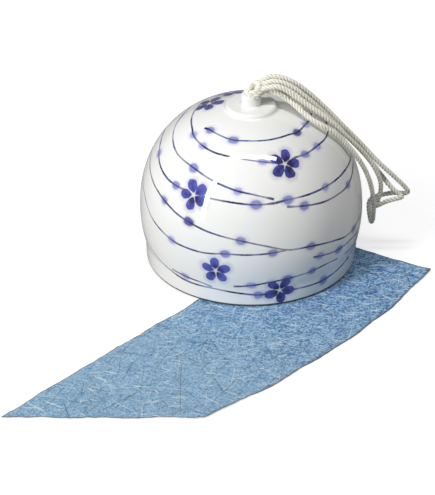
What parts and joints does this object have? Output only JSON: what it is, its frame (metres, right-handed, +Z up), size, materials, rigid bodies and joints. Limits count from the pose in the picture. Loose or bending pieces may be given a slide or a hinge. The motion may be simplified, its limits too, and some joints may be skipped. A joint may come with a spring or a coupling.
{
  "type": "furin wind bell",
  "caption": "Glazed porcelain wind bell with a painted branch pattern, its clapper on a cord, hanging cord loops and a paper strip.",
  "frame": {"origin": "centre of the bell's standing rim, in the rim's plane", "axes": "+Z up along the bell's axis, -Y towards the viewer, +X to the side where the cord loops hang"},
  "size_m": [0.1282, 0.127, 0.0626],
  "materials": {
    "porcelain": "glossy",
    "porcelain_bead": "glossy",
    "cotton_cord": "matte",
    "washi": "matte"
  },
  "bodies": {
    "bell": {"porcelain_bell": "porcelain", "crown_knot": "cotton_cord", "hanging_loop_outer": "cotton_cord", "hanging_loop_inner": "cotton_cord", "cord_tail": "cotton_cord", "crown_cord": "cotton_cord", "stopper_knot": "cotton_cord", "strip_cord": "cotton_cord", "strip_knot": "cotton_cord"},
    "clapper_line": {"clapper_cord": "cotton_cord", "clapper_knot": "cotton_cord"},
    "clapper": {"clapper_bead": "porcelain_bead"},
    "strip": {"paper_strip": "washi"}
  },
  "joints": [
    {"name": "clapper_swing", "type": "hinge", "parent": "bell", "child": "clapper_line", "pos_m": [0, 0, 0.04495], "axis": [0, 1, 0], "range_deg": [-45, 45]},
    {"name": "clapper_spin", "type": "hinge", "parent": "clapper_line", "child": "clapper", "pos_m": [0, 0, 0.0145], "axis": [0, 0, 1], "continuous": true},
    {"name": "strip_turn", "type": "hinge", "parent": "bell", "child": "strip", "pos_m": [0.02544, -0.01043, -0.00015], "axis": [0, 0, 1], "range_deg": [-30, 30]}
  ]
}
